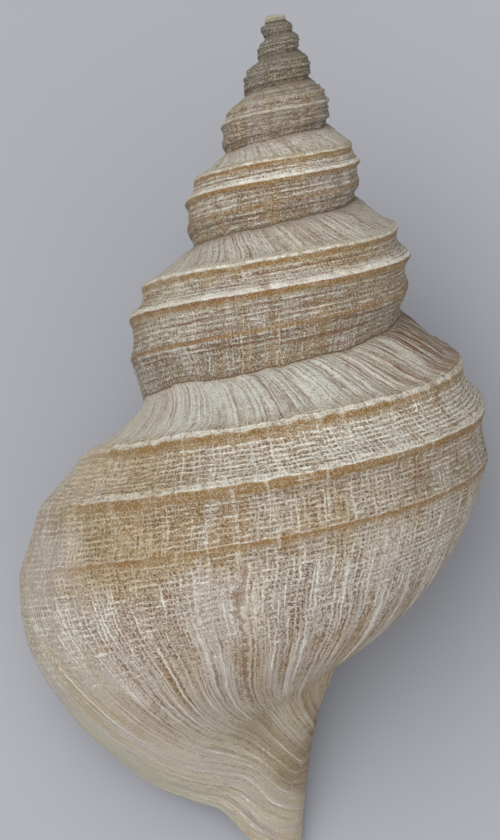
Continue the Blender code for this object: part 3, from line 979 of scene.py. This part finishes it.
    def lay_hairs(self, colour):
        """Thin brown hairs along earlier lips, on the ramp below the suture."""
        n = self.n
        on_ramp = n.within(self.row, *RAMP_ROWS)
        far_right = n.within(self.stage, *FAR_RIGHT_STAGES)
        crowding = n.plus(n.times(self.to_right, 0.08), (far_right, 0.24))
        browning = n.times(n.plus(0.34, (self.to_right, 0.36)), n.rest(self.young, 0.3))
        hair = n.band(n.less(self.lines(HAIR_LINES), crowding), -0.24, -0.40)
        self.hair = n.times(hair, on_ramp, n.add(browning, far_right))
        return n.mix(self.hair, colour, HAIR)

    def lay_age_and_suture_shade(self, colour):
        """Specks, the grey of the oldest whorls, the pale tip, painted shade in the suture, and
        grain.
        """
        n, stage = self.n, self.stage
        speck = n.band(n.centred(self.mm, 1.9, 3, 0.75), -0.25, -0.50)
        colour = n.mix(n.times(speck, n.plus(0.45, (self.on_base, -0.35))), colour, BROWN)
        greyed = 0.0
        for start, full, share in GREYING:
            greyed = n.plus(greyed, (n.band(stage, start, full), share))
        colour = n.mix(n.times(greyed, n.plus(1.0, (self.fine, 0.45))), colour, GREY)
        colour = n.mix(n.times(n.band(stage, TIP_START, TIP_FULL), TIP_SHARE), colour, CREAM)
        above_next = n.band(self.row, *SEAM_SHADE_ROWS)
        above_next = n.times(above_next, n.band(stage, SEAM_START, SEAM_FULL))
        # Painted shade in the suture, laid as brown
        shade_in_suture = n.most(n.band(self.row, *SUTURE_SHADE_ROWS), above_next)
        colour = n.mix(n.times(shade_in_suture, 0.75), colour, BROWN)
        grained = n.plus(0.40, (self.long_share, -0.28))
        colour = n.mix(n.times(n.band(self.grain, 0.10, 0.6), grained), colour, WHITE)
        return n.mix(n.times(n.band(self.grain, -0.10, -0.6), grained), colour, BROWN)

    def lay_pauses(self, colour):
        n = self.n
        for pause, top, bottom in PAUSES:
            off = n.away(n.plus(self.stage, (self.wander, 5.0)), float(pause))
            shown = n.within(self.row, top, top + 0.5, bottom - 0.5, bottom)
            line = n.times(n.band(off, PAUSE_WIDTH, 0.1), shown, PAUSE_SHARE)
            colour = n.mix(line, colour, HAIR)
        return colour

    def lay_margin(self, colour):
        """The outer lip's smooth margin."""
        n = self.n
        edge = n.plus(self.stage, (self.row, -MARGIN_LAG), (self.medium, 2.0))
        self.margin = n.times(n.band(edge, MARGIN_START, MARGIN_FULL),
                              n.band(self.row, *MARGIN_ROWS))
        return n.mix(self.margin, colour, GREENISH)

    def height(self):
        """The height of the weave, hairs and grain, as a share of the bump's distance."""
        n = self.n
        lips = n.times(self.lips, n.plus(0.4, (self.open_weave, 0.6)), 0.6)
        weave = n.plus(lips, (n.times(self.thread, self.open_weave), 0.6))
        weave = n.times(weave, n.most(self.woven, self.by_canal), n.rest(self.margin))
        return n.plus(weave, (self.hair, -0.8), (self.fine, 0.4), (self.grain, 0.12))


def outside_material():
    coat = Coat()
    n = coat.n
    colour = coat.lay_patches(coat.ground())
    colour = coat.lay_weave(coat.lay_keel_ochre_and_shade(colour))
    colour = coat.lay_hairs(coat.lay_strong_lines(colour))
    colour = coat.lay_pauses(coat.lay_age_and_suture_shade(colour))
    n.feed(n.shader.inputs["Base Color"], coat.lay_margin(colour))
    n.feed(n.shader.inputs["Roughness"], n.plus(0.74, (coat.fine, 0.2)))
    n.shader.inputs["Specular IOR Level"].default_value = 0.3
    inputs = {"Strength": 1.0, "Distance": BUMP * MM, "Height": coat.height()}
    n.feed(n.shader.inputs["Normal"], n.node("ShaderNodeBump", inputs).outputs[0])
    return n.material


def inside_material():
    n = Nodes("glazed_mouth")
    mm = n.millimetres()
    fine = n.noise(mm, 0.9, 3)
    pink = n.band(n.noise(mm, 0.08, 3), 0.35, 0.65)
    n.feed(n.shader.inputs["Base Color"], n.mix(pink, GLAZE_CREAM, GLAZE_PINK))
    n.feed(n.shader.inputs["Roughness"], n.plus(0.22, (fine, 0.2)))
    inputs = {"Strength": 0.4, "Distance": GLAZE_BUMP * MM, "Height": fine}
    n.feed(n.shader.inputs["Normal"], n.node("ShaderNodeBump", inputs).outputs[0])
    return n.material


shell.data.materials.append(outside_material())
shell.data.materials.append(inside_material())
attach(shell, "root")
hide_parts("shell")


FLOOR_SIZE = 4              # metres


def make_floor():
    bpy.ops.mesh.primitive_plane_add(size=FLOOR_SIZE, location=(0, 0, 0))
    floor = bpy.context.object
    floor.name = "floor"
    n = Nodes("pale_floor")
    n.shader.inputs["Base Color"].default_value = tint(127, 129, 135)
    n.shader.inputs["Roughness"].default_value = 0.9
    n.shader.inputs["Specular IOR Level"].default_value = 0.2
    floor.data.materials.append(n.material)


# Each soft light: its place in the shell's own frame, its power in watts and its colour
LIGHTS = (("window", (-390, 350, 740), 16.2, (1.0, 0.98, 0.94)),
          ("fill", (320, -480, 760), 9.6, (1.0, 0.98, 0.96)))
LIGHT_SIZE = 1.5            # metres
MIDDLE = (0, -70, 0)        # the shell's middle
SKY_COLOUR, SKY_STRENGTH = (0.82, 0.83, 0.85, 1), 0.80


def add_light(name, place, power, colour):
    """A round soft light at a place in the shell's own frame, aimed at the shell's middle."""
    light = bpy.data.lights.new(name, "AREA")
    light.shape = "DISK"
    light.size = LIGHT_SIZE
    light.energy = power
    light.color = colour
    lamp = bpy.data.objects.new(name, light)
    lamp.location = LAID @ (Vector(place) * MM)
    middle = LAID @ (Vector(MIDDLE) * MM)
    lamp.rotation_mode = "QUATERNION"
    lamp.rotation_quaternion = (lamp.location - middle).to_track_quat("Z", "Y")
    bpy.context.scene.collection.objects.link(lamp)


def light_scene():
    for light in LIGHTS:
        add_light(*light)
    world = bpy.data.worlds.new("studio")
    world.use_nodes = True
    background = world.node_tree.nodes["Background"]
    background.inputs["Color"].default_value = SKY_COLOUR
    background.inputs["Strength"].default_value = SKY_STRENGTH
    bpy.context.scene.world = world
    bpy.context.scene.view_settings.view_transform = "Standard"


# The camera looks at the back from this far, from a little towards the apex
CAMERA_DISTANCE = 310.1
CAMERA_LIFT, CAMERA_ROLL = 5.596, 0.933
AIM_RIGHT, AIM_DOWN = -4.913, 68.573
LENS, SENSOR = 81.04, 36


def place_camera():
    lift, roll = math.radians(CAMERA_LIFT), math.radians(CAMERA_ROLL)
    back = Vector((0, math.sin(lift), math.cos(lift)))
    across = Vector((1, 0, 0))
    down = Vector((0, -math.cos(lift), math.sin(lift)))
    right = across * math.cos(roll) + down * math.sin(roll)
    lower = down * math.cos(roll) - across * math.sin(roll)
    place = AIM_RIGHT * right + AIM_DOWN * lower + CAMERA_DISTANCE * back
    turned = Matrix((right, -lower, back)).transposed().to_4x4()
    turned.translation = place * MM
    camera = bpy.data.objects.new("camera", bpy.data.cameras.new("camera"))
    camera.data.lens = LENS
    camera.data.sensor_width = SENSOR
    camera.matrix_world = LAID @ turned
    bpy.context.scene.collection.objects.link(camera)
    bpy.context.scene.camera = camera


make_floor()
light_scene()
place_camera()
